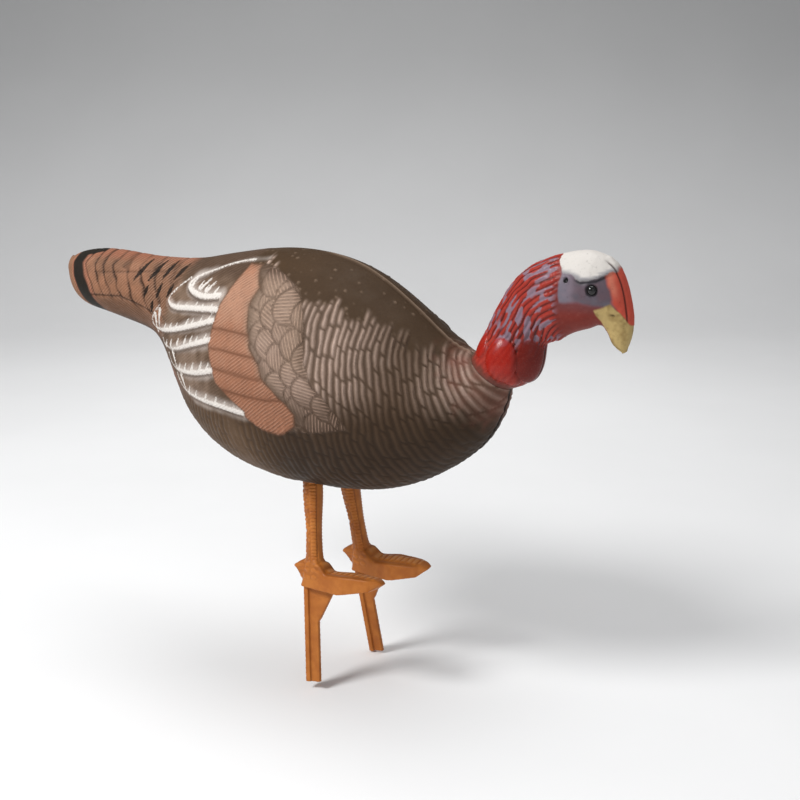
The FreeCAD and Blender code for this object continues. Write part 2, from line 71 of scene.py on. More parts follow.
# From the tip of the beak over the crown and down to the neck joint.
HEAD_SECTIONS = (
    (331, 286, 326, 283, 3),
    (335, 300, 318, 289, 8),
    (335, 318, 313, 298, 11),
    (330, 340, 310, 303, 15),
    (319, 363, 308, 306, 20),
    (299, 375, 303, 307, 24),
    (274, 374, 295, 304, 24.5),
    (247, 365, 280, 299, 23.5),
    (220, 348, 261, 289, 21.5),
    (203, 324, 250, 284, 20.5),
    (192, 302, 246, 268, 22),
    (183, 283, 237, 248, 26),
)
NECK_JOINT = np.array([193.0, 0.0, 251.0])
NECK_LEAN = np.radians(37.0)
NECK_AXIS = np.array([np.sin(NECK_LEAN), 0.0, np.cos(NECK_LEAN)])
NECK_RADIUS = 25.5
HEAD_BASE = 0.5
# On the side of the head, in x and z.
EYE = (302.5, 342.5)
EAR = (277, 350)
BEAK_TOP = ((300, 322), (305, 324), (319, 329), (327, 321), (334, 311), (340, 306))
CROWN_LOW = ((262, 352), (270, 357), (280, 355), (292, 351), (306, 353), (316, 358), (330, 362))
# Swellings at the foot of the neck: middle, half length, half height, how far they stand out, and
# whether there is one on each flank or one across the middle.
NECK_LOBES = (
    ((213, 269), 16, 22, 5.6, True),
    ((239, 266), 12, 25, 2.2, False),
    ((187, 281), 8, 13, 1.8, False),
    ((222, 251), 9, 8, 2.0, True),
)

# ---- legs
LEG_SPLAY = np.radians(8.0)
LEG_LEAN = np.radians(6.0)
SOLES = {"right": (0.5, -43.0, 3.0), "left": (11.0, 43.0, -3.0)}
SOCKET_RADIUS = 15.6
SOCKET_HEIGHT = 118
SOCKET_CUT = 60
SHANK_CENTRE = 6.5
SHANK_RADIUS = 9
# The peg's skin stays this thin above the shoulder, so that it slides in its bush.
PEG_SKIN = 8.3
SHOULDER_RIM = 8.75
SHOULDER_TOP = 123.1
LEG_VOXEL = 0.66
# How far each smoothing pass draws a point in, and after how many passes the whole leg, the
# foot and the bend above it are left alone.
SMOOTH_PULL = 0.6
WHOLE_PASSES, FOOT_PASSES, BEND_PASSES = 22, 62, 90

# ---- wing, in x and z
FEATHERS = (
    ((-52, 352), (-83, 348), (-103, 343), (-125, 335), (-145, 328), (-156, 319), (-149, 313),
     (-124, 309), (-93, 314)),
    ((-157, 325), (-171, 315), (-181, 306), (-184, 298), (-172, 293), (-133, 297), (-90, 301)),
    ((-199, 292), (-211, 281), (-215, 269), (-195, 265), (-154, 273), (-91, 290)),
    ((-193, 257), (-190, 249), (-164, 249), (-118, 263), (-90, 271)),
    ((-180, 244), (-174, 232), (-158, 228), (-118, 232), (-82, 241)),
    ((-160, 224), (-152, 214), (-138, 208), (-108, 206), (-71, 206), (-37, 203)),
)
TOOTH_START = (5, 4, 3, 1, 2, 2)
TOOTH_LENGTH = (7, 6, 7, 8, 9, 8)
WHITE_DASHES = (((-131, 317), (-121, 327)), ((-120, 315), (-110, 325)), ((-206, 283), (-204, 262)),
                ((-197, 288), (-199, 270)), ((-168, 246), (-160, 232)), ((-148, 224), (-140, 212)))
COPPER_LEFT = ((205, -35), (230, -76), (246, -83), (263, -92), (281, -90), (306, -88), (343, -72))
COPPER_RIGHT = ((184, 8), (197, 26), (209, 27), (218, 18), (242, -11), (255, -16), (270, -29),
                (287, -36), (310, -44), (326, -39), (342, -54))
COPPER_LOW = ((-60, 214), (-37, 200), (-18, 189), (4, 184), (20, 187), (40, 200))
COVERT_RIGHT = ((196, 84), (210, 74), (222, 64), (243, 44), (262, 34), (283, 31), (304, 24),
                (327, 7), (339, -16), (348, -52))
COVERT_LOW = ((-60, 214), (20, 190), (50, 192), (84, 198))
BREAST_TOP = ((-60, 352), (-20, 336), (14, 318), (44, 315), (74, 306), (104, 292), (131, 278),
              (156, 270), (176, 268))
WING_LOW = ((-228, 252), (-200, 244), (-170, 226), (-154, 214), (-138, 206), (-108, 203), (-37, 200))
TAIL_EDGE = ((275, -322), (292, -333), (304, -338), (320, -346), (330, -351), (345, -347))
BLACK_DASHES = (
    ((-243, 317), (-229, 338)), ((-222, 317), (-208, 338)), ((-202, 320), (-192, 339)),
    ((-184, 321), (-172, 337)), ((-226, 300), (-221, 312)), ((-206, 300), (-200, 315)),
    ((-188, 302), (-182, 316)), ((-214, 284), (-211, 296)),
)


# ---- small tools
def rise(low, high, x):
    """0 at low, 1 at high and beyond, with a smooth slope between; low may be above high."""
    t = np.clip((x - low) / (high - low), 0, 1)
    return t * t * (3 - 2 * t)


def bell(x, width):
    """1 at 0, falling smoothly to about a third at width."""
    return np.exp(-((x / width) ** 2))


def along(line, x):
    """The second number of a line of pairs, read at the first number x."""
    xs, ys = np.array(line, float).T
    return np.interp(x, xs, ys)


def tone(code):
    """A colour written as six hex digits, as the linear red, green and blue."""
    part = np.array([int(code[i:i + 2], 16) for i in (0, 2, 4)]) / 255
    return np.where(part <= 0.04045, part / 12.92, ((part + 0.055) / 1.055) ** 2.4)


def mix(a, b, share):
    """Colour a moved towards colour b by a share at each point; either may be a hex code."""
    a, b = (tone(c) if isinstance(c, str) else c for c in (a, b))
    return a + (b - a) * share[:, None]


def coats(paint, *layers):
    """Paint with more colours laid over it in turn, each as (colour, share at each point)."""
    for colour, share in layers:
        paint = mix(paint, colour, share)
    return paint


def lattice(cell, seed):
    """A repeatable random number from -1 to 1 for each whole-number cell."""
    h = cell[:, 0] * 374761393 + cell[:, 1] * 668265263 + cell[:, 2] * 974634777 + seed * 97531
    h = ((h & 0xFFFFFFFF) ^ ((h & 0xFFFFFFFF) >> 13)) * 1274126177
    h = (h & 0xFFFFFFFF) ^ ((h & 0xFFFFFFFF) >> 16)
    return (h & 0xFFFF) / 32767.5 - 1


def noise(points, scale, seed=0):
    """Smooth noise from -1 to 1 with features about as large as scale."""
    q = points / scale + 100
    base = np.floor(q).astype(np.int64)
    f = q - base
    f = f * f * (3 - 2 * f)
    total = np.zeros(len(points))
    for corner in product((0, 1), repeat=3):
        c = np.array(corner)
        total += np.prod(np.where(c, f, 1 - f), axis=1) * lattice(base + c, seed)
    return total


def dots(points, scale, seed=0):
    """Distance from each point to the nearest of scattered dots, in steps of scale."""
    q = points / scale + 100
    base = np.floor(q).astype(np.int64)
    near = np.full(len(points), 9.0)
    for step in product((-1, 0, 1), repeat=3):
        cell = base + np.array(step)
        spot = cell + 0.5 + 0.4 * np.stack([lattice(cell, seed + k) for k in (1, 2, 3)], 1)
        near = np.minimum(near, np.linalg.norm(q - spot, axis=1))
    return near


def to_segment(p, a, b):
    """Distance from points to a segment, and how far along it the nearest point is."""
    a, b = np.array(a, float), np.array(b, float)
    t = np.clip(((p - a) @ (b - a)) / ((b - a) @ (b - a)), 0, 1)
    return np.linalg.norm(p - a - t[:, None] * (b - a), axis=1), t


def rounded(line, passes=2):
    """A line of points with its corners cut, so that it reads as a curve."""
    p = np.array(line, float)
    for _ in range(passes):
        cut = np.empty((2 * len(p) - 2, 2))
        cut[0::2] = 0.75 * p[:-1] + 0.25 * p[1:]
        cut[1::2] = 0.25 * p[:-1] + 0.75 * p[1:]
        p = np.vstack([p[:1], cut, p[-1:]])
    return p


def spline(knots, values, at):
    """The natural cubic spline through values at knots, read at other places."""
    n = len(knots)
    h = np.diff(knots)
    a = np.eye(n)
    b = np.zeros(values.shape)
    for i in range(1, n - 1):
        a[i, i - 1:i + 2] = h[i - 1], 2 * (h[i - 1] + h[i]), h[i]
        b[i] = 6 * ((values[i + 1] - values[i]) / h[i] - (values[i] - values[i - 1]) / h[i - 1])
    m = np.linalg.solve(a, b)
    i = np.clip(np.searchsorted(knots, at) - 1, 0, n - 2)
    w = h[i][:, None]
    t = (at - knots[i])[:, None]
    r = w - t
    curve = (m[i] * r ** 3 + m[i + 1] * t ** 3) / (6 * w)
    return curve + (values[i] / w - m[i] * w / 6) * r + (values[i + 1] / w - m[i + 1] * w / 6) * t


def spread(count, weight):
    """Numbers from 0 to 1, closer together where weight is larger."""
    t = np.linspace(0, 1, 2001)
    w = weight(t)
    total = np.concatenate([[0], np.cumsum(w[1:] + w[:-1])])
    return np.interp(np.linspace(0, 1, count), total / total[-1], t)


def show(thing):
    """Put an object into the scene."""
    bpy.context.scene.collection.objects.link(thing)
    return thing


def read(rows, name, width, kind=np.int64):
    """A property of a mesh's vertices, edges or triangles, as an array with a row for each."""
    values = np.empty(len(rows) * width, kind)
    rows.foreach_get(name, values)
    return values.reshape(-1, width)


# ---- half skins
def neck_circle(height):
    """The round section of the neck, at a height over the joint plane."""
    middle = NECK_JOINT + height * NECK_AXIS
    back = NECK_RADIUS * np.array([-np.cos(NECK_LEAN), 0, np.sin(NECK_LEAN)])
    top, low = middle + back, middle - back
    return (top[0], top[2], low[0], low[2], NECK_RADIUS)


def half_skin(table, circle, widest, ridge, rows, columns, cap_rows, cap_bulge):
    """Points of the right half skin in a grid: rows run from the closed tip to the neck, columns
    from the top seam round the right side to the low seam.  Gives points and section middles."""
    shape = [row + (widest, ridge) for row in table] + [circle + (0.5, 1.0)]
    shape = np.array(shape, float)
    step = np.diff(shape[:, :5], axis=0)
    knots = np.concatenate([[0], np.cumsum(np.hypot(*step[:, :2].T) + np.hypot(*step[:, 2:4].T))])
    fine = spline(knots, shape, np.linspace(0, knots[-1], 1500))
    middle = np.cumsum(np.concatenate([[0], np.hypot(*np.diff(fine[:, :2] + fine[:, 2:4], axis=0).T)]))
    at = np.interp(np.linspace(0, middle[-1], rows - cap_rows), middle, np.linspace(0, knots[-1], 1500))
    section = spline(knots, shape, at)
    angle = np.linspace(0, np.pi / 2, cap_rows + 1)[:-1]
    outward = shape[0, :4] - shape[1, :4]
    outward = np.tile((outward[:2] + outward[2:]) / np.linalg.norm(outward[:2] + outward[2:]), 2)
    cap = np.repeat(section[:1], cap_rows, axis=0)
    cap[:, :4] += cap_bulge * np.cos(angle)[:, None] * outward
    cap[:, 4] *= np.sin(angle)
    section = np.vstack([cap, section])
    top_x, top_z, low_x, low_z, half, wide, power = (c[:, None] for c in section.T)
    turn = np.pi * columns[None, :]
    high = np.cos(turn) > 0
    out = half * np.maximum(np.sin(turn), 0) ** np.where(high, power, 1.0)
    share = wide + np.where(high, 1 - wide, wide) * np.cos(turn)
    points = np.stack([low_x + (top_x - low_x) * share, -out, low_z + (top_z - low_z) * share], 2)
    points[:, (0, -1), 1] = 0
    centre = np.stack([(top_x + low_x) / 2, 0 * half, (top_z + low_z) / 2], 2) + 0 * points
    return points, centre, outward


def outward_normals(points, centre, outward):
    n = np.cross(np.gradient(points, axis=0), np.gradient(points, axis=1))
    n[0] = (outward[0], 0, outward[1])
    n *= np.where(((points - centre) * n).sum(2, keepdims=True) < 0, -1, 1)
    n[0] = (outward[0], 0, outward[1])
    n[:, (0, -1), 1] = 0
    return n / np.maximum(np.linalg.norm(n, axis=2, keepdims=True), 1e-9)


def lengths(points):
    """Distance along the middle column from the tip, and round each row from the top seam."""
    middle = points[:, int(points.shape[1] * 0.45)]
    station = np.concatenate([[0], np.cumsum(np.linalg.norm(np.diff(middle, axis=0), axis=1))])
    step = np.linalg.norm(np.diff(points, axis=1), axis=2)
    down = np.hstack([np.zeros((len(points), 1)), np.cumsum(step, axis=1)])
    return np.repeat(station[:, None], points.shape[1], 1), down


def zipper(a, b):
    """Triangles between two rows of vertices with different counts and the same ends."""
    faces = []
    i = j = 0
    while i < len(a) - 1 or j < len(b) - 1:
        if j == len(b) - 1 or (i < len(a) - 1 and (i + 1) * (len(b) - 1) <= (j + 1) * (len(a) - 1)):
            faces.append((a[i], a[i + 1], b[j]))
            i += 1
        else:
            faces.append((a[i], b[j + 1], b[j]))
            j += 1
    return faces


def grid_faces(index):
    quad = np.stack([index[:-1, :-1], index[1:, :-1], index[1:, 1:], index[:-1, 1:]], 2)
    return quad.reshape(-1, 4).tolist()


def closed_half(points, centre, wall, coarse, skip):
    """Vertices and faces of a half shell: the skin, a coarse inner skin and the rim between."""
    n, m = points.shape[:2]
    rows = np.unique(np.append(np.arange(skip, n - 1, coarse), n - 1))
    columns = np.unique(np.append(np.arange(0, m - 1, coarse), m - 1))
    p, c = points[rows][:, columns], centre[rows][:, columns]
    reach = np.linalg.norm(p - c, axis=2, keepdims=True)
    inner = c + (p - c) * np.maximum(0.25, 1 - wall / np.maximum(reach, 1e-6))
    outer_index = np.arange(n * m).reshape(n, m)
    inner_index = n * m + np.arange(inner.shape[0] * inner.shape[1]).reshape(inner.shape[:2])
    faces = grid_faces(outer_index) + grid_faces(inner_index)
    for side in ((slice(None), 0), (slice(None), -1), (0, slice(None)), (-1, slice(None))):
        faces += zipper(outer_index[side].tolist(), inner_index[side].tolist())
    return np.vstack([points.reshape(-1, 3), inner.reshape(-1, 3)]), faces


def make_piece(name, points, faces, fields, mirrored, material, body):
    """A smooth-shaded piece in metres with its painted fields, riding on a CAD body."""
    mesh = bpy.data.meshes.new(name)
    place = points * (1, -1, 1) if mirrored else points
    mesh.from_pydata((place * MM).tolist(), [], faces)
    for field, values in fields.items():
        whole = np.zeros((len(points),) + values.shape[1:], np.float32)
        whole[:len(values)] = values
        if values.ndim == 2:
            layer = mesh.attributes.new(field, "FLOAT_COLOR", "POINT")
            rgba = np.ones((len(points), 4), np.float32)
            rgba[:, :3] = whole
            layer.data.foreach_set("color", rgba.ravel())
        else:
            mesh.attributes.new(field, "FLOAT", "POINT").data.foreach_set("value", whole)
    work = bmesh.new()
    work.from_mesh(mesh)
    bmesh.ops.recalc_face_normals(work, faces=work.faces)
    work.to_mesh(mesh)
    work.free()
    return finish_piece(bpy.data.objects.new(name, mesh), material, body)


def finish_piece(piece, material, body):
    show(piece)
    piece.data.shade_smooth()
    piece.data.set_sharp_from_angle(angle=SHARP_ANGLE)
    piece.data.materials.clear()
    piece.data.materials.append(material)
    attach(piece, body)
    return piece


def leg_matrix(side):
    sign = -1 if side == "right" else 1
    place = Matrix.Translation(Vector(SOLES[side]))
    return place @ Matrix.Rotation(sign * LEG_SPLAY, 4, "X") @ Matrix.Rotation(-LEG_LEAN, 4, "Y")


def cut_leg_hole(piece, side):
    """Open the belly where the leg socket comes flush with the skin."""
    cutter_mesh = bpy.data.meshes.new("cutter")
    work = bmesh.new()
    bmesh.ops.create_cone(work, cap_ends=True, segments=96, radius1=SOCKET_RADIUS * MM,
                          radius2=SOCKET_RADIUS * MM, depth=SOCKET_CUT * MM)
    middle = leg_matrix(side) @ Vector((SHANK_CENTRE, 0, SOCKET_HEIGHT))
    turn = leg_matrix(side).to_3x3().to_4x4()
    work.transform(Matrix.Translation(middle * MM) @ turn)
    work.to_mesh(cutter_mesh)
    work.free()
    cutter = show(bpy.data.objects.new("cutter", cutter_mesh))
    change = piece.modifiers.new("hole", "BOOLEAN")
    change.operation = "DIFFERENCE"
    change.solver = "EXACT"
    change.object = cutter
    apply_modifiers(piece)
    bpy.data.objects.remove(cutter)


def apply_modifiers(piece):
    graph = bpy.context.evaluated_depsgraph_get()
    solid = bpy.data.meshes.new_from_object(piece.evaluated_get(graph))
    piece.modifiers.clear()
    piece.data = solid


# ---- body relief and paint
def scallops(p, x0, z0, width, height, lean, seed):
    """Overlapping rounded feathers.  Gives height, distance inside each feather's edge and a
    barb count, whose straight barbs are turned another way on each feather."""
    shift = int(width * 0.5)
    high = np.zeros(len(p))
    edge = np.full(len(p), 9.0)
    barb = np.zeros(len(p))
    for column in range(10):
        for row in range(-4, 9):
            cell = np.array([[column, row, 0]])
            a, b, c = (float(lattice(cell, seed + k)[0]) for k in (1, 2, 3))
            cx = x0 + column * shift + 5 * a
            cz = z0 + (row + 0.5 * (column % 2)) * height + 5 * b
            turn = lean + 0.35 * c
            u = (p[:, 0] - cx) * np.cos(turn) + (p[:, 1] - cz) * np.sin(turn)
            v = -(p[:, 0] - cx) * np.sin(turn) + (p[:, 1] - cz) * np.cos(turn)
            swell = 0.64 + 0.12 * c
            round_in = 1 - np.sqrt((np.minimum(u, 0) / (width * swell)) ** 2
                                   + (v / (height * swell)) ** 2)
            inside = (round_in > 0) & (u < width)
            high = np.where(inside, 0.5 + 0.5 * np.minimum(1, round_in * 2.5), high)
            edge = np.where(inside, round_in * height * 0.5, edge)
            fan = 0.9 + 0.9 * float(lattice(cell, seed + 4)[0])
            barb = np.where(inside, (u * np.cos(fan) + v * np.sin(fan)) / 3.2 + 0.02 * u * a, barb)
    return high, edge, barb


def bricks(p, station, down, flat):
    """Ridges of breast and belly: tall bricks in columns.  Gives their relief from 0 to 1, and how
    many mm each column's top end stands off the common line."""
    line = station / 7.0 + 0.45 * noise(flat, 30, 5) + 0.12 * noise(p, 9, 3)
    column = np.stack([np.floor(line).astype(int)] * 3, 1)
    part = (down + 4 * noise(flat, 22, 4)) / (32 + 7 * lattice(column, 6)) + 4 * lattice(column, 7)
    break_at = np.floor(part).astype(int)
    part = part - break_at
    lean_in = lattice(np.stack([column[:, 0], break_at, break_at], 1), 8)
    crest = np.exp(-(((line - column[:, 0] - 0.5 - 0.10 * lean_in) / 0.27) ** 2))
    brick = crest * rise(0, 0.10, part) * rise(1, 0.90, part) * (0.85 + 0.15 * lean_in)
    return brick, 8 * lattice(column, 9)


def white_edges(side):
    """The front feathers' rims, dashes and slanting teeth: distance in mm to the white, distance to
    its soft border, and the step under each rim from 0 to 1."""
    x, z = side.T
    white = np.full(len(side), FAR)
    hazy = np.full(len(side), FAR)
    step = np.zeros(len(side))
    for k, feather in enumerate(FEATHERS):
        curve = rounded(feather)
        size = np.linspace(0, 1, len(curve) - 1)
        for a, b, s in zip(curve[:-1], curve[1:], size):
            far, _ = to_segment(side, a, b)
            white = np.minimum(white, far - (0.5 + 1.9 * rise(0.35, 0.8, s)))
            hazy = np.minimum(hazy, far - 2.0 + 8 * rise(0.55, 0.3, s))
            below_edge, _ = to_segment(side, a + (-0.6, -4.2), b + (-0.6, -4.2))
            step = np.maximum(step, bell(below_edge, 1.8) * rise(0.3, 0.5, s))
        start, end = np.array(feather[TOOTH_START[k]], float), np.array(feather[-1], float)
        count = max(2, int(np.linalg.norm(end - start) / 14.5))
        for j in range(count):
            jitter = lattice(np.array([[k, j, 3]]), 11)[0]
            root = start + (end - start) * (j + 0.35 + 0.2 * jitter) / count
            tip = root + TOOTH_LENGTH[k] * (1 + 0.25 * jitter) * np.array([0.42, 0.9])
            far, t = to_segment(side, root, tip)
            white = np.minimum(white, far - (1.9 - 1.5 * t))
    for a, b in WHITE_DASHES:
        far, t = to_segment(side, a, b)
        white = np.minimum(white, far - (1.9 - 1.2 * t))
    return np.where(x > along(COPPER_LEFT, z) + 3, 9.0, white), hazy, step


def tail_bars(x, z, flat, rough):
    """Distance in from the tail's rim, its bars across, height over the fold, the line of the fold
    and the middle shaft."""
    into = x - along(TAIL_EDGE, z) + 1.2 * rough
    bars = (into - 31 + 3.0 * noise(flat, 11, 6)) / (10.5 + 0.05 * np.maximum(into, 0))
    bar = bell((bars - np.round(bars)) * 12, 1.35 + 0.6 * rough) * rise(24, 28, into)
    bar *= 0.55 + 0.45 * rise(-0.5, 0.3, noise(flat, 16, 13))
    fold = z - along(((-335, 294), (-263, 297), (-233, 289), (-180, 272)), x)
    fold_line = bell(fold, 1.3) * rise(22, 26, into) * rise(-196, -214, x)
    shaft = bell(z - 322 - 0.06 * (x + 300), 1.4) * rise(30, 60, into) * rise(-190, -206, x)
    return into, bar, fold, fold_line, shaft


def black_dashes(side):
    """Distance in mm to the spindle-shaped black dashes at the root of the tail."""
    dark = np.full(len(side), 9.0)
    for a, b in BLACK_DASHES:
        far, t = to_segment(side, a, b)
        dark = np.minimum(dark, far - (0.6 + 2.0 * np.sin(np.pi * np.clip(t, 0.06, 0.94))))
    return dark


def body_fields(p, station, down, whole):
    """Relief height in mm over the plain skin, and the painted fields."""
    x, z = p[:, 0], p[:, 2]
    side = p[:, (0, 2)]
    up = whole - down
    high = np.zeros(len(p))
    rough = noise(p, 9, 1)
    broad = noise(p, 34, 2)
    flat = np.stack([x, 0 * x, z], 1)

    # -- regions
    copper = np.minimum(x - along(COPPER_LEFT, z), along(COPPER_RIGHT, z) - x)
    copper = np.minimum(copper, np.minimum(z - along(COPPER_LOW, x), 346 - z)) + 0.8 * rough
    covert = np.minimum(x - along(COPPER_RIGHT, z), along(COVERT_RIGHT, z) - x + 2 * rough)
    covert = np.minimum(covert, np.minimum(z - along(COVERT_LOW, x), 347 - z))
    is_copper, is_covert = rise(-1, 1.5, copper), rise(-2, 2, covert)
    tail = rise(-172, -196, x + 0.35 * (300 - z))
    wing_zone = rise(-228, -214, x) * rise(6, -6, x - along(COPPER_LEFT, z))
    wing_zone *= rise(-6, 1, z - along(WING_LOW, x)) * (1 - is_copper)
    front = rise(-4, 4, x - along(COVERT_RIGHT, z)) * rise(-90, -60, x)

    # -- breast and belly ridges: tall bricks in rows
    brick, column_top = bricks(p, station, down, flat)
    below = along(BREAST_TOP, x) - z + column_top
    ridged = front * rise(-3, 5, below)
    hind = rise(-50, -80, x) * rise(205, 190, z) * rise(-190, -170, x)
    ridged = np.maximum(ridged, np.maximum(hind, rise(205, 192, z) * rise(-60, -40, x)))
    strength = 0.45 + 0.55 * rise(195, 225, z)
    strength = np.maximum(strength, rise(110, 150, x) * rise(190, 215, z))
    leg_clear = rise(14, 26, np.hypot(x - 2, p[:, 1] + 32)) + rise(150, 160, z)
    ridged *= np.minimum(leg_clear, 1)
    high += 2.0 * ridged * strength * brick

    # -- wing coverts and copper feathers
    lift, edge, barb = scallops(side, -52, 184, 32, 26, -0.12, 20)
    high += is_covert * (0.9 * lift - 0.7 * bell(edge, 0.9))
    groove = np.full(len(p), 9.0)
    for z0, x0 in ((289, -40), (269, -40), (250, -30), (231, -20)):
        level = z0 - 5 + 0.10 * (x - x0) + 5.5 * np.cos(np.clip((x + 88) / 30, 0, 3.1)) - 2
        groove = np.minimum(groove, np.abs(z - level))
    high += is_copper * (0.7 - 0.9 * bell(groove, 1.1))
    copper_barb = (0.58 * x - 0.81 * z) / 3.1 + 0.25 * rough

    # -- white-edged feathers: raised rims with slanting teeth
    white, hazy, step = white_edges(side)
    high += wing_zone * 0.5 + 0.75 * rise(1.2, -1.2, white) - 1.0 * step * wing_zone * rise(0, 2, white)
    wing_barb = (0.5 * x - 0.86 * z) / 3.0

    # -- tail: rows of transverse bars, a black band and a tan rim
    into, bar, fold, fold_line, shaft = tail_bars(x, z, flat, rough)
    high += tail * (0.4 - 0.75 * bar * rise(-4, 4, fold) - 0.9 * fold_line - 0.45 * shaft)
    dark = black_dashes(side)
    high -= 0.8 * rise(1.0, -1.0, dark)
    tail_barb = np.where(fold > 0, (0.66 * x - 0.75 * z) / 3.0, (0.5 * x + 0.86 * z) / 3.0)

    # -- back bumps, ripples by the neck, the seam bead and the chest groove
    back = (1 - ridged) * (1 - is_covert) * (1 - is_copper) * (1 - tail) * (1 - wing_zone)
    bump = rise(0.24, 0.08, dots(p, 11, 31)) * rise(0.0, 0.5, noise(p, 45, 8) + 0.35)
    high += 0.7 * back * bump * rise(6, 12, down) * rise(200, 215, z)
    to_neck = np.linalg.norm(p - NECK_JOINT, axis=1)
    ripple = np.abs(np.sin(np.pi * (to_neck + 2.5 * noise(p, 14, 9)) / 7.5)) ** 0.8
    near_neck = rise(64, 46, to_neck) * rise(28, 34, to_neck)
    high += near_neck * (0.9 * ripple - 0.5 * ridged * brick)
    bead = bell(down, 1.6) * rise(-12, 14, x)
    high += 1.1 * bead * (1 + 0.25 * noise(p, 8, 10)) - 0.8 * bell(down - 3.4, 1.2) * rise(-12, 14, x)
    chest_seam = bell(up, 3.0) * rise(60, 110, x)
    high -= (1.3 * bell(up, 2.0) * rise(60, 110, x) + 0.35 * bell(up, 1.0)
             + 0.3 * bell(down, 0.9) * rise(14, -12, x))
    high *= rise(26.0, 32, to_neck)
    high *= rise(0, 8, station)

    # -- paint
    low = rise(255, 150, z)
    # Painted light: the breast is painted lighter behind x 55, ahead of x 180 and towards the top,
    # where the light falls on it.
    painted_light = rise(125, 55, x) * 0.85 + rise(125, 180, x) * 0.65 + 0.12
    painted_light *= rise(200, 245, z) * (0.78 + 0.22 * broad)
    painted_light = np.clip(painted_light, 0, 1)
    # Painted shade: the ridge crests between x 60 and 130, away from the light, are painted duller.
    painted_crest_shade = rise(-20, 60, x) * rise(200, 130, x)
    rump = rise(-118, -150, x + 0.4 * (z - 330)) * (1 - tail) * rise(190, 230, z)
    feather = coats(
        "7b6656", ("594637", rise(-0.5, 0.6, broad + rough * 0.5)),
        ("524033", rise(322, 338, z)))
    haze = rise(6 + 4 * rise(-165, -100, x), 0, hazy + 1.5 * rough)
    haze = haze * (1 - is_copper) * (1 - 0.8 * step)
    covert_tone = coats(
        "937c6b", ("9e8677", rise(-0.5, 0.5, broad)),
        ("4c3c31", rise(326, 347, z) * 0.85 + rise(250, 205, z) * 0.75))
    fade = rise(352, 336, z) * rise(0, 12, covert)
    copper_tone = coats(
        "ab7f67", ("a17057", rise(-0.6, 0.6, broad + 0.4 * rough)),
        ("96644b", rise(262, 215, z) * 0.8),
        ("9a7c68", rise(9, 0, along(COPPER_RIGHT, z) - x) * rise(225, 250, z) * 0.6))
    band = rise(2.5, 6, into) * rise(27, 22, into - rise(338, 345, z) * 22)
    streak = np.clip(0.95 * bar + 0.7 * fold_line + 0.4 * shaft, 0, 1)
    tail_tone = coats(
        "956950", ("7f5b45", rise(-0.5, 0.6, broad + 0.6 * rough)),
        ("a56a54", rise(34, 26, into) * 0.7),
        ("99604a", rise(333, 343, z) * 0.7),
        ("644735", rise(3, -10, fold) * 0.8),
        ("3c2f25", rise(-16, -34, fold)),
        ("2f1e14", streak * rise(-8, 2, fold)),
        ("221f1b", band),
        ("8c654c", rise(3, 0, into)))
    spray = rise(66, 34, to_neck + 10 * noise(p, 7, 12)) * 0.6
    paint = coats(
        "443323", ("34271c", low),
        ("654d37", rise(20, -60, x) * low),
        ("55412f", rise(0.1, 0.7, broad) * 0.15),
        # Painted light over the lit ridges; the crests get pale dry-brushed paint together with a
        # painted highlight.
        ("8a7261", ridged * painted_light * 0.85),
        ("dfc5b7", ridged * brick ** 1.3 * painted_light * 0.95),
        # Painted shade in the grooves between the breast ridges.
        ("2c211a", ridged * rise(0.35, 0.05, brick) * 0.42),
        # Painted shade dulling the crests of the middle breast.
        ("6b5443", ridged * brick * painted_crest_shade * 0.25),
        ("8a7462", back * bump * 0.5),
        ("7d523f", rump * rise(-0.9, 0.4, broad)),
        (feather, wing_zone),
        # Painted shadow in the step under each white rim.
        ("43342a", wing_zone * step * 0.8),
        ("c3b8b0", haze * 0.72),
        (covert_tone, is_covert * (0.45 + 0.55 * fade)),
        ("4f3c2e", is_covert * bell(edge, 1.2) * 0.6),
        (copper_tone, rise(-2, 4, copper)),
        # A dark boundary line in each groove between copper feather rows, with a wider painted shade
        # round it.
        ("5c3a29", is_copper * np.clip(bell(groove, 1.1) + 0.35 * bell(groove, 4), 0, 1) * 0.7),
        (tail_tone, tail),
        ("804e42", spray * (0.6 + 0.4 * rough)),
        ("84705f", bead * 0.85),
        ("120f0d", chest_seam))

    barbs = np.where(tail > 0.5, tail_barb, wing_barb)
    barbs = np.where(copper > 0, copper_barb, np.where(covert > 0, barb, barbs))
    smooth_strip = rise(16, 5, x - along(COPPER_RIGHT, z))
    amount = np.clip(is_copper * 0.55 + is_covert * (0.7 - 0.5 * smooth_strip) + tail * (1 - band) * 0.4
                     + wing_zone * 0.25, 0, 1)
    amount *= rise(0.3, 2.2, np.where(covert > 0, edge, 9)) * rise(0.4, 2, groove + 9 * (1 - is_copper))
    return high, {"paint": np.clip(paint, 0, 1), "white": white, "dark": dark,
                  "barb": barbs, "barb_amount": amount}


# ---- head relief and paint
def lobe(p, centre, across, tall):
    """A round swelling on the flank: its height from 0 to 1, and distance from the middle."""
    r = np.sqrt(((p[:, 0] - centre[0]) / across) ** 2 + ((p[:, 2] - centre[1]) / tall) ** 2)
    return np.sqrt(np.maximum(0, 1 - r ** 2)), r


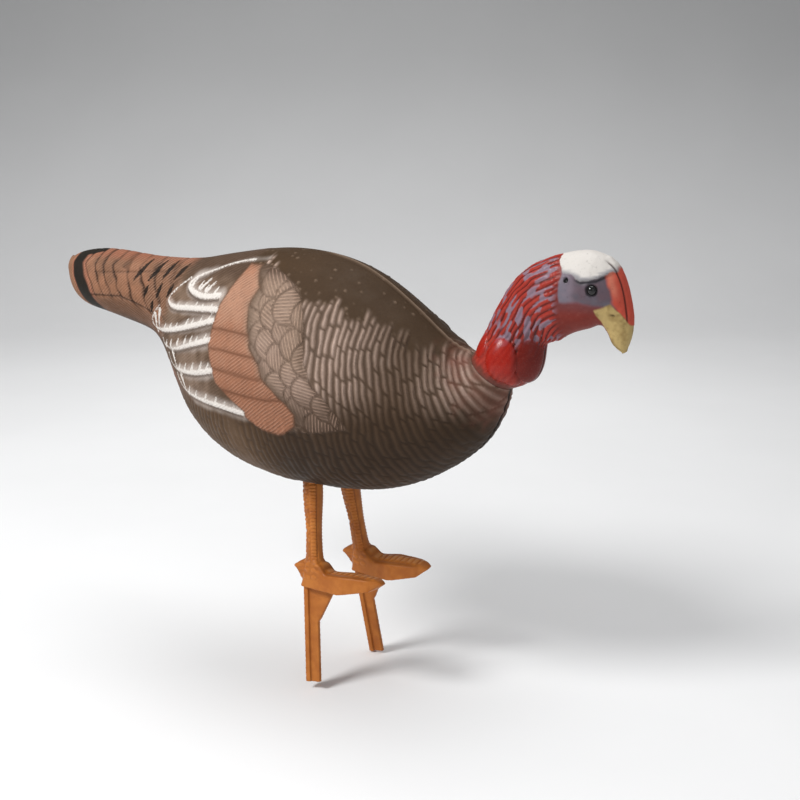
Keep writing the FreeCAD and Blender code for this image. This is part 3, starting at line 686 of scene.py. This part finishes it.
def head_fields(p, station, down, whole):
    x, y, z = p.T
    up = whole - down
    fine, rough, broad = noise(p, 2.6, 41), noise(p, 6, 42), noise(p, 17, 43)
    flank = rise(-3, -9, y)

    # -- regions, most of them bounded by a line in the side view
    beak = rise(-1.2, 1.2, along(BEAK_TOP, x) - z + 0.9 * rough)
    beak = beak * rise(300, 303, x - 0.1 * (323 - z) + 1.2 * rough)
    beak *= rise(-0.5, 1.5, (x - 304) + (z - 322) * 0.42 + 0.8 * rough)
    front = (x - 317) + (z - 345) * 0.30
    snood = rise(-2.0, 2.5, front + 1.6 * rough) * (1 - beak)
    white_low = along(CROWN_LOW, x)
    crown = rise(-0.9, 0.9, z - white_low + 1.8 * rough + 1.0 * fine)
    crown *= rise(-1, 1, (x - 268) + (z - 366) * 0.35 + 2.2 * rough) * (1 - beak)
    crown *= rise(1.0, -1.0, x - (318 + 0.35 * (368 - z)) + 1.2 * rough)
    face = rise(-1.5, 1.5, x - 271 + 1.8 * rough)
    face = face * rise(-2.5, 2.5, z - (328 + 0.1 * (300 - x)) + 1.6 * broad)
    cheek = rise(-3, 3, x - 262 + 2.0 * rough) * (1 - face)
    neck = (1 - rise(262, 274, x)) * (1 - beak)
    stretch = p * (0.35, 1, 0.35)

    # -- neck wrinkles run down the neck from behind the ear
    phase = down / 5.6 + 0.8 * noise(stretch, 12, 44) + 0.3 * noise(p, 9, 45)
    wrinkle = np.abs(np.sin(np.pi * phase)) ** 0.65
    broken = 0.7 + 0.3 * noise(stretch, 6, 46)
    low_neck = rise(262, 286, z + 0.35 * (x - 215))
    high = neck * low_neck * (2.9 * wrinkle * broken - 1.1)
    high += neck * 0.35 * noise(p, 2.2, 47)

    # -- swellings round the foot of the neck
    red_lobes = np.zeros(len(p))
    crease = np.zeros(len(p))
    for centre, across, tall, lift, paired in NECK_LOBES:
        only = flank if paired else 1.0
        swell, r = lobe(p, centre, across, tall)
        high = np.maximum(high, lift * swell * only)
        red_lobes = np.maximum(red_lobes, rise(0.1, 0.5, swell) * only)
        crease = np.maximum(crease, bell((r - 1.08) * across, 2.0) * only * rise(1, 0.4, swell))
    crease *= 1 - rise(0.2, 0.5, red_lobes)
    high -= 0.5 * crease

    # -- face: brow, ear, eye rim, cheek, crown, snood and beak
    from_eye = np.hypot(x - EYE[0], z - EYE[1]) + FAR * (1 - flank)
    from_ear = np.hypot(x - EAR[0], z - EAR[1]) + FAR * (1 - flank)
    high += 0.25 * bell(from_eye - 6.9, 1.5) - 0.4 * rise(5.6, 4.6, from_eye)
    high += 0.5 * bell(from_ear - 3.2, 1.0) - 1.6 * rise(2.8, 1.2, from_ear)
    brow = bell(z - white_low + 2.6, 1.5) * rise(283, 290, x) * rise(322, 314, x)
    high += 0.9 * bell(z - white_low - 0.6, 2.2) * rise(272, 284, x) * rise(324, 314, x) - 0.6 * brow
    high += crown * (0.45 + 0.22 * rough + 0.12 * fine)
    high += cheek * (1 - neck) * (1.2 * bell(np.hypot(x - 282, z - 313), 14) + 0.12 * rough)
    high += snood * (1.1 * bell(down, 7) + 0.35 * rough - 0.8 * bell(down - 8.5, 1.1))
    high += beak * (0.35 * noise(stretch, 4, 48) + 0.2 * fine)
    nostril = bell(np.hypot((x - 321) / 2.2, (z - 319 + 0.25 * (x - 321)) / 1.0), 1)
    high -= beak * 1.2 * nostril * flank
    gape = bell(up - 5.5, 0.7) * beak * rise(334, 320, x)
    high -= 0.7 * gape + 0.35 * bell(down, 0.6) + 0.5 * bell(up, 0.8)
    front_seam = bell(up, 1.2) * rise(292, 280, z + 0.3 * (x - 240)) * rise(225, 240, x)
    high -= 0.8 * front_seam
    high *= rise(0.0, 5, station[-1] - station)
    high = np.maximum(high, -1.6)

    # -- paint
    lengthwise = np.stack([station / 3.4, down, 0 * down], 1)
    blotch = rise(0.16, 0.4, noise(lengthwise, 2.7, 49) + 0.3 * broad + 0.15 * rise(300, 345, z) - 0.05)
    to_body = (p - NECK_JOINT) @ NECK_AXIS
    streaks = noise(p * (0.35, 1, 1.3), 2.4, 50)
    beak_tone = mix("b09863", "927a4b", rise(-0.3, 0.7, rough + 0.5 * fine))
    lobe_red = red_lobes * rise(252, 262, z + 0.2 * (x - 212)) * (0.75 + 0.25 * rough)
    paint = coats(
        "8c281f", ("6a1c17", rise(-0.4, 0.6, broad)),
        # Painted highlight on the wrinkle crests and painted shade in the grooves between them.
        ("a8392c", neck * wrinkle ** 3 * 0.6),
        ("320e0d", neck * low_neck * rise(0.7, 0.2, wrinkle) * 0.92),
        ("80717f", neck * low_neck * blotch * rise(270, 292, z) * 0.85),
        ("72261c", cheek * (1 - neck) * 0.9),
        ("5e3a3c", cheek * (1 - neck) * rise(11, 0, np.abs(z - 327)) * 0.6),
        ("991d12", lobe_red),
        ("551710", red_lobes * rise(221, 231, x) * 0.8),
        # Painted shadow in the crease round the swellings.
        ("3c100d", crease * 0.3 * rise(214, 222, x)),
        ("5b372d", rise(11, 3, to_body + 3 * rough) * 0.85),
        ("565059", face * (0.92 + 0.08 * rough)),
        ("7a717c", face * rise(292, 274, x + 4 * rough) * 0.75),
        ("6a6570", face * rise(0, 0.8, broad + 0.4 * rough) * 0.6),
        ("27252a", brow * rise(280, 286, x)),
        ("b84a39", snood),
        # Painted highlight on the snood beside the front seam.
        ("d08a72", snood * bell(front - 3, 3) * rise(330, 345, z) * 0.5),
        ("c8c3bd", crown),
        ("6a6a72", crown * rise(5.5, 0.2, z - white_low + 2.2 * streaks) * 0.75),
        ("2c100e", snood * bell(down - 8.5, 1.1) * 0.9),
        (beak_tone, beak),
        ("54462a", beak * (nostril * flank + gape) * 0.8),
        ("0b0a0b", rise(2.9, 1.9, from_ear + 0.5 * fine)),
        ("19181b", rise(6.6, 5.2, from_eye + 0.5 * fine) * 0.9),
        ("1c0b0a", front_seam))
    gloss = np.clip(0.35 + 0.65 * red_lobes + 0.2 * neck, 0, 1) * (1 - 0.9 * crown) * (1 - 0.8 * beak)
    return high, {"paint": np.clip(paint, 0, 1), "gloss": gloss}


# ---- leg relief
def neighbour_mean(values, edges, count):
    total = np.zeros_like(values)
    np.add.at(total, edges[:, 0], values[edges[:, 1]])
    np.add.at(total, edges[:, 1], values[edges[:, 0]])
    return total / count[:, None]


def leg_relief(q, normal):
    """Height in mm of scutes and scales over a leg, from points in the leg's own frame."""
    x, y, z = q.T
    spin = np.abs(np.degrees(np.arctan2(y, x - SHANK_CENTRE)))
    shank = rise(26, 34, z) * rise(124, 118, z)
    angle = np.radians(spin)
    side = np.stack([np.cos(angle) * SHANK_RADIUS, np.sin(angle) * SHANK_RADIUS, z], 1)
    ladder = rise(38, 44, spin) * rise(84, 76, spin)
    pitch = z / 3.7 + 0.25 * noise(q, 14, 61)
    scute = np.abs(np.sin(np.pi * pitch)) ** 0.6
    scale = rise(0.12, 0.42, 0.72 - dots(side, 4.4, 62))
    behind = rise(82, 90, spin)
    high = shank * (ladder * (0.95 * scute - 0.4) + behind * (0.8 * scale - 0.25))
    high -= shank * 0.5 * bell(spin - 37, 5)
    instep = rise(16, 22, z) * rise(40, 33, z) * rise(10, 16, x)
    top = rise(0.45, 0.75, normal[:, 2]) * rise(16, 24, x) * rise(88, 80, x) * rise(8, 11, z)
    bumps = np.abs(np.sin(np.pi * (x - 16) / 7.0)) ** 0.7 * rise(9, 3, np.abs(y))
    high += np.maximum(top, instep * 0.8) * (1.3 * bumps - 0.2)
    rear = rise(22, 14, x) * rise(7, 11, z) * rise(34, 28, z)
    high += rear * (0.55 * scale - 0.15)
    return high


def make_leg(side, material):
    """The leg's CAD mesh, rounded as a moulding above the sole and given its scales."""
    name = "leg_skin_" + side
    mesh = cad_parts["leg_" + side].data.copy()
    work = bmesh.new()
    work.from_mesh(mesh)
    bmesh.ops.remove_doubles(work, verts=work.verts, dist=0.01 * MM)
    work.to_mesh(mesh)
    work.free()
    piece = show(bpy.data.objects.new(name, mesh))
    change = piece.modifiers.new("fine", "REMESH")
    change.mode = "VOXEL"
    change.voxel_size = LEG_VOXEL * MM
    apply_modifiers(piece)
    bpy.context.scene.collection.objects.unlink(piece)
    mesh = piece.data
    place = leg_matrix(side)
    back = np.array(place.inverted())
    forward = np.array(place)
    q = (read(mesh.vertices, "co", 3, float) / MM) @ back[:3, :3].T + back[:3, 3]
    edges = read(mesh.edges, "vertices", 2)
    degree = np.maximum(np.bincount(edges.ravel(), minlength=len(q)), 1)
    soft = (rise(1.5, 5.0, q[:, 2]) * rise(126, 122, q[:, 2]))[:, None]
    bend = rise(9, 13, q[:, 2]) * rise(44, 36, q[:, 2]) * rise(4, 8, q[:, 0]) * rise(44, 34, q[:, 0])
    foot = np.maximum(bend, rise(2, 6, q[:, 2]) * rise(34, 28, q[:, 2]))
    for k in range(BEND_PASSES):
        where = 1.0 if k < WHOLE_PASSES else (foot if k < FOOT_PASSES else bend)[:, None]
        q = q + SMOOTH_PULL * (soft * where) * (neighbour_mean(q, edges, degree) - q)
    normal = mesh_normals(mesh, q)
    high = leg_relief(q, normal)
    q = clear_bush(q + normal * high[:, None])
    co = (q @ forward[:3, :3].T + forward[:3, 3]) * MM
    mesh.vertices.foreach_set("co", co.ravel())
    # The relief height is kept for the material, which paints shade in its hollows and a highlight on
    # its raised scales.
    mesh.attributes.new("relief", "FLOAT", "POINT").data.foreach_set("value", high.astype(np.float32))
    return finish_piece(piece, material, "leg_" + side)


def clear_bush(q):
    """Keep the shoulder under the bush and the peg inside it, where smoothing rounded them."""
    out = np.hypot(q[:, 0] - SHANK_CENTRE, q[:, 1])
    q[:, 2] = np.where(out > SHOULDER_RIM, np.minimum(q[:, 2], SHOULDER_TOP), q[:, 2])
    share = np.where(q[:, 2] > SHOULDER_TOP, np.minimum(1, PEG_SKIN / np.maximum(out, 1e-6)), 1)
    q[:, 0] = SHANK_CENTRE + (q[:, 0] - SHANK_CENTRE) * share
    q[:, 1] *= share
    return q


def mesh_normals(mesh, q):
    """Unit normals of the mesh's vertices once they are moved to q."""
    mesh.calc_loop_triangles()
    tris = read(mesh.loop_triangles, "vertices", 3)
    face = np.cross(q[tris[:, 1]] - q[tris[:, 0]], q[tris[:, 2]] - q[tris[:, 0]])
    total = np.zeros_like(q)
    for k in range(3):
        np.add.at(total, tris[:, k], face)
    return total / np.maximum(np.linalg.norm(total, axis=1, keepdims=True), 1e-12)


# ---- materials
class Nodes:
    """A short way to write a node material."""

    def __init__(self, name, rough, specular=0.5):
        self.material = bpy.data.materials.new(name)
        self.material.use_nodes = True
        self.tree = self.material.node_tree
        self.tree.nodes.clear()
        self.shader = self.tree.nodes.new("ShaderNodeBsdfPrincipled")
        self.shader.inputs["Roughness"].default_value = rough
        self.shader.inputs["Specular IOR Level"].default_value = specular
        self.out = self.tree.nodes.new("ShaderNodeOutputMaterial")
        self.link(self.shader.outputs[0], self.out.inputs[0])

    def link(self, a, b):
        self.tree.links.new(a, b)

    def set(self, socket, value):
        """Feed a socket from another socket, a hex colour or a plain value."""
        if isinstance(value, bpy.types.NodeSocket):
            self.link(value, socket)
        elif isinstance(value, str):
            socket.default_value = (*tone(value), 1)
        else:
            socket.default_value = value

    def field(self, name, output="Fac"):
        node = self.tree.nodes.new("ShaderNodeAttribute")
        node.attribute_name = name
        return node.outputs[output]

    def place(self):
        return self.tree.nodes.new("ShaderNodeTexCoord").outputs["Object"]

    def noise(self, scale, detail=3.0, rough=0.5):
        node = self.tree.nodes.new("ShaderNodeTexNoise")
        node.inputs["Scale"].default_value = scale
        node.inputs["Detail"].default_value = detail
        node.inputs["Roughness"].default_value = rough
        self.link(self.place(), node.inputs["Vector"])
        return node.outputs["Fac"]

    def math(self, kind, a, b=0.0):
        node = self.tree.nodes.new("ShaderNodeMath")
        node.operation = kind
        self.set(node.inputs[0], a)
        self.set(node.inputs[1], b)
        return node.outputs[0]

    def ramp(self, value, low, high, to_low=0.0, to_high=1.0):
        node = self.tree.nodes.new("ShaderNodeMapRange")
        node.interpolation_type = "SMOOTHSTEP"
        limits = {"From Min": low, "From Max": high, "To Min": to_low, "To Max": to_high}
        for socket, number in limits.items():
            node.inputs[socket].default_value = number
        self.link(value, node.inputs["Value"])
        return node.outputs["Result"]

    def blend(self, share, a, b):
        node = self.tree.nodes.new("ShaderNodeMix")
        node.data_type = "RGBA"
        self.set(node.inputs[0], share)
        self.set(node.inputs[6], a)
        self.set(node.inputs[7], b)
        return node.outputs[2]

    def finish(self, colour, rough, bumps):
        """Colour, roughness and a chain of (height, strength, distance) bumps."""
        self.set(self.shader.inputs["Base Color"], colour)
        self.set(self.shader.inputs["Roughness"], rough)
        last = None
        for height, strength, distance in bumps:
            node = self.tree.nodes.new("ShaderNodeBump")
            node.inputs["Strength"].default_value = strength
            node.inputs["Distance"].default_value = distance
            self.link(height, node.inputs["Height"])
            if last:
                self.link(last, node.inputs["Normal"])
            last = node.outputs["Normal"]
        self.link(last, self.shader.inputs["Normal"])
        return self.material


def body_material():
    n = Nodes("painted_body", 0.55, 0.1)
    paint = n.field("paint", "Color")
    grain = n.noise(420, 4, 0.6)
    patch = n.noise(70, 5, 0.6)
    wave = n.math("SINE", n.math("MULTIPLY", n.field("barb"), FULL_TURN))
    uneven = n.math("MULTIPLY", wave, n.field("barb_amount"))
    uneven = n.math("MULTIPLY", uneven, n.ramp(n.noise(150, 2), 0.3, 0.6, 0.35, 1.0))
    # Painted light and shade: each barb line gets a painted highlight on its raised side and painted
    # shade on its sunk side.
    light = n.ramp(uneven, 0.0, 0.8, 0.0, 0.26)
    painted_shade = n.ramp(uneven, 0.0, -0.8, 0.0, 0.30)
    colour = n.blend(n.ramp(patch, 0.35, 0.7, 0.0, 0.16), paint, "3a2c21")
    colour = n.blend(light, colour, "d6b09b")
    colour = n.blend(painted_shade, colour, "4a3427")
    ragged = n.math("ADD", n.field("white"), n.ramp(n.noise(520, 4, 0.7), 0.3, 0.7, -0.9, 0.9))
    colour = n.blend(n.ramp(ragged, 1.0, -0.6), colour, "d9d2cb")
    frayed = n.math("ADD", n.field("dark"), n.ramp(n.noise(600, 4, 0.7), 0.3, 0.7, -0.7, 0.7))
    colour = n.blend(n.ramp(frayed, 0.6, -0.4, 0.0, 0.95), colour, "221c17")
    colour = n.blend(n.ramp(grain, 0.3, 0.75, 0.0, 0.16), colour, "1f1813")
    rough = n.ramp(patch, 0.3, 0.7, 0.46, 0.62)
    return n.finish(colour, rough, ((uneven, 0.55, 0.0011), (grain, 0.25, 0.0006)))


def head_material():
    n = Nodes("painted_head", 0.35, 0.2)
    paint = n.field("paint", "Color")
    grain = n.noise(900, 4, 0.6)
    streak = n.noise(260, 4, 0.65)
    colour = n.blend(n.ramp(streak, 0.5, 0.8, 0.0, 0.06), paint, "c08a7c")
    colour = n.blend(n.ramp(streak, 0.45, 0.2, 0.0, 0.35), colour, "2a0f10")
    dull = n.ramp(grain, 0.3, 0.7, 0.46, 0.58)
    rough = n.math("SUBTRACT", dull, n.math("MULTIPLY", n.field("gloss"), 0.28))
    return n.finish(colour, rough, ((streak, 0.15, 0.0007), (grain, 0.12, 0.0003)))


def leg_material():
    n = Nodes("leg_plastic_cast", 0.42, 0.2)
    cloud = n.noise(60, 4, 0.6)
    grain = n.noise(1300, 3, 0.6)
    colour = n.blend(n.ramp(cloud, 0.3, 0.7), "a45e26", "ba7232")
    # Painted shade in the hollows of the relief and a painted highlight on its raised scales.
    colour = n.blend(n.ramp(n.field("relief"), 0.15, -0.45, 0.0, 0.55), colour, "6d3917")
    colour = n.blend(n.ramp(n.field("relief"), 0.35, 1.1, 0.0, 0.35), colour, "d69a5e")
    rough = n.ramp(cloud, 0.3, 0.7, 0.36, 0.48)
    return n.finish(colour, rough, ((grain, 0.18, 0.0003), (cloud, 0.1, 0.002)))


def plain_material(name, code, second, rough, scale, strength=0.2):
    """A moulded part that is mostly out of sight: two tones of one colour, with a fine grain."""
    n = Nodes(name, rough)
    grain = n.noise(scale, 4, 0.6)
    cloud = n.noise(scale / 12, 3)
    colour = n.blend(n.ramp(cloud, 0.3, 0.7), code, second)
    uneven = n.ramp(grain, 0.3, 0.7, rough - 0.06, rough + 0.06)
    return n.finish(colour, uneven, ((grain, strength, 0.0003),))


# ---- the pieces
# Where the section is widest, from 0 low to 1 at the top, and how sharp its back ridge is; wall in
# mm; every how many rows the inner skin has one, and how many it leaves free at the tip; rows and
# bulge in mm of the rounded tip; rows and columns of the skin.
BODY_SHAPE = {"widest": 0.46, "ridge": 1.2, "wall": 3.0, "coarse": 5, "skip": 14,
              "cap_rows": 7, "cap_bulge": 2.5, "rows": 436, "columns": 206}
HEAD_SHAPE = {"widest": 0.5, "ridge": 1.0, "wall": 1.6, "coarse": 4, "skip": 60,
              "cap_rows": 7, "cap_bulge": 1.5, "rows": 400, "columns": 118}


def make_halves(prefix, table, circle, shape, fields_of, material):
    """The right and left skin of the body or head, which replace its two shells."""
    rows, columns = int(shape["rows"] * DETAIL), int(shape["columns"] * DETAIL)
    turns = spread(columns, lambda t: 1 + 2.2 * bell(t, 0.012) + 2.2 * bell(1 - t, 0.012))
    points, centre, outward = half_skin(table, circle, shape["widest"], shape["ridge"], rows, turns,
                                        shape["cap_rows"], shape["cap_bulge"])
    station, down = lengths(points)
    whole = np.repeat(down[:, -1:], columns, 1)
    high, fields = fields_of(points.reshape(-1, 3), station.ravel(), down.ravel(), whole.ravel())
    normal = outward_normals(points, centre, outward)
    raised = points + normal * high.reshape(points.shape[:2])[:, :, None]
    raised[..., 1] = np.minimum(raised[..., 1], 0)
    vertices, faces = closed_half(raised, centre, shape["wall"], shape["coarse"], shape["skip"])
    pieces = {}
    for side in ("right", "left"):
        piece = make_piece(prefix + "_skin_" + side, vertices, faces, fields, side == "left",
                           material, prefix)
        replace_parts(piece, prefix + "_shell_" + side)
        pieces[side] = piece
    return pieces


halves = make_halves("body", BODY_SECTIONS, neck_circle(0), BODY_SHAPE, body_fields, body_material())
for side, piece in halves.items():
    cut_leg_hole(piece, side)
make_halves("head", HEAD_SECTIONS, neck_circle(HEAD_BASE), HEAD_SHAPE, head_fields, head_material())
LEG_MATERIAL = leg_material()
for side in ("right", "left"):
    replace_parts(make_leg(side, LEG_MATERIAL), "leg_" + side)

CAD_FINISHES = (
    (("fitting_black", "1d1c1b", "272523", 0.48, 900),
     ("neck_ring", "neck_collar", "neck_plug", "leg_socket_right", "leg_socket_left")),
    (("rubber_black", "171717", "201f1e", 0.62, 1200),
     ("neck_o_ring", "leg_bush_right", "leg_bush_left")),
    (("pin_natural", "4a4038", "5a4e44", 0.5, 1000), ("body_seam_pins", "head_seam_pins")),
    (("eye_black", "060606", "0b0a0b", 0.1, 1500, 0.02), ("eye_right", "eye_left")),
)
for finish, nodes in CAD_FINISHES:
    material = plain_material(*finish)
    for node in nodes:
        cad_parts[node].data.materials.clear()
        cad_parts[node].data.materials.append(material)


# ---- studio
# Painted shade on the backdrop: how pale it is painted, by distance in metres behind the decoy and on
# up the wall, darker where light falls off.
PAPER_PAINTED_SHADE = ((0, 1.0), (1.6, 0.98), (2.2, 0.95), (2.85, 0.80), (3.31, 0.64), (3.66, 0.50),
               (3.98, 0.43), (5, 0.38))


# In metres: the level where the stakes end, how far the floor comes forward and to each side, where
# it starts to curve up and how widely, and the top of the wall.
FLOOR_LEVEL, FLOOR_FRONT, FLOOR_SIDE = -0.1078, 6.0, 16.0
SWEEP_START, SWEEP_RADIUS, WALL_TOP = 2.2, 1.2, 6.0
LOOK_AT = (0.0872, 0, 0.2101)
VIEW_TURN = np.radians(30)
# Name, place, target, size in metres and watts.
LIGHTS = (
    ("key", (-0.85, -1.5, 1.75), (0, 0, 0.24), 0.8, 46),
    ("top", (0.15, 0.3, 2.0), (0.05, 0, 0.2), 1.4, 15),
    ("backdrop", (-0.65, 1.13, 1.5), (-1.5, 2.6, 0.3), 1.2, 11),
    ("fill", (1.9, -1.3, 0.8), (0.1, 0, 0.2), 1.6, 3),
)


def make_floor():
    """A pale sweep: floor under the stakes, curving up far behind, with painted shade darkening it
    farther back and up the wall.
    """
    profile = [(y, 0.0) for y in (-FLOOR_FRONT, 0.0, 0.5, 1.0, 1.5, 2.0)]
    for a in np.linspace(0, np.pi / 2, 25):
        profile.append((SWEEP_START + SWEEP_RADIUS * np.sin(a), SWEEP_RADIUS * (1 - np.cos(a))))
    profile.append((SWEEP_START + SWEEP_RADIUS, WALL_TOP))
    step = np.hypot(*np.diff(np.array(profile), axis=0).T)
    painted_shade = along(PAPER_PAINTED_SHADE, np.concatenate([[0], np.cumsum(step)]) - FLOOR_FRONT)
    turn = Matrix.Rotation(VIEW_TURN, 4, "Z")
    middle = Vector((LOOK_AT[0], 0, FLOOR_LEVEL))
    points = [turn @ Vector((x, y, z)) + middle for x in (-FLOOR_SIDE, FLOOR_SIDE) for y, z in profile]
    count = len(profile)
    faces = [(k, k + 1, count + k + 1, count + k) for k in range(count - 1)]
    mesh = bpy.data.meshes.new("studio_floor")
    mesh.from_pydata(points, [], faces)
    mesh.attributes.new("painted_shade", "FLOAT", "POINT").data.foreach_set("value", np.tile(painted_shade, 2))
    mesh.shade_smooth()
    n = Nodes("studio_paper", 0.85, 0.15)
    paper = n.noise(3, 3)
    colour = n.blend(n.ramp(paper, 0.3, 0.7), (0.87, 0.87, 0.87, 1), (0.89, 0.89, 0.89, 1))
    # Painted shade: the paper is darkened towards the back and up the wall.
    colour = n.blend(n.field("painted_shade"), (0, 0, 0, 1), colour)
    mesh.materials.append(n.finish(colour, 0.85, ((paper, 0.02, 0.001),)))
    show(bpy.data.objects.new("studio_floor", mesh))


def aim(thing, place, target):
    """Put a lamp or camera at a place and turn it towards a target."""
    thing.location = place
    thing.rotation_euler = (Vector(target) - thing.location).to_track_quat("-Z", "Y").to_euler()
    show(thing)


def add_light(name, place, target, size, power):
    data = bpy.data.lights.new(name, "AREA")
    data.shape = "DISK"
    data.size = size
    data.energy = power
    aim(bpy.data.objects.new(name, data), place, target)


def add_world():
    """A weak, slightly cool light from all round."""
    world = bpy.data.worlds.new("studio")
    world.use_nodes = True
    world.node_tree.nodes["Background"].inputs["Color"].default_value = (0.92, 0.93, 0.95, 1)
    world.node_tree.nodes["Background"].inputs["Strength"].default_value = 0.42
    bpy.context.scene.world = world


def add_camera():
    data = bpy.data.cameras.new("camera")
    data.lens = 56.25
    data.sensor_width = 36
    camera = bpy.data.objects.new("camera", data)
    aim(camera, (0.7191, -1.0944, 0.5019), LOOK_AT)
    bpy.context.scene.camera = camera


make_floor()
for light in LIGHTS:
    add_light(*light)
add_world()
add_camera()
bpy.context.scene.view_settings.view_transform = "Standard"
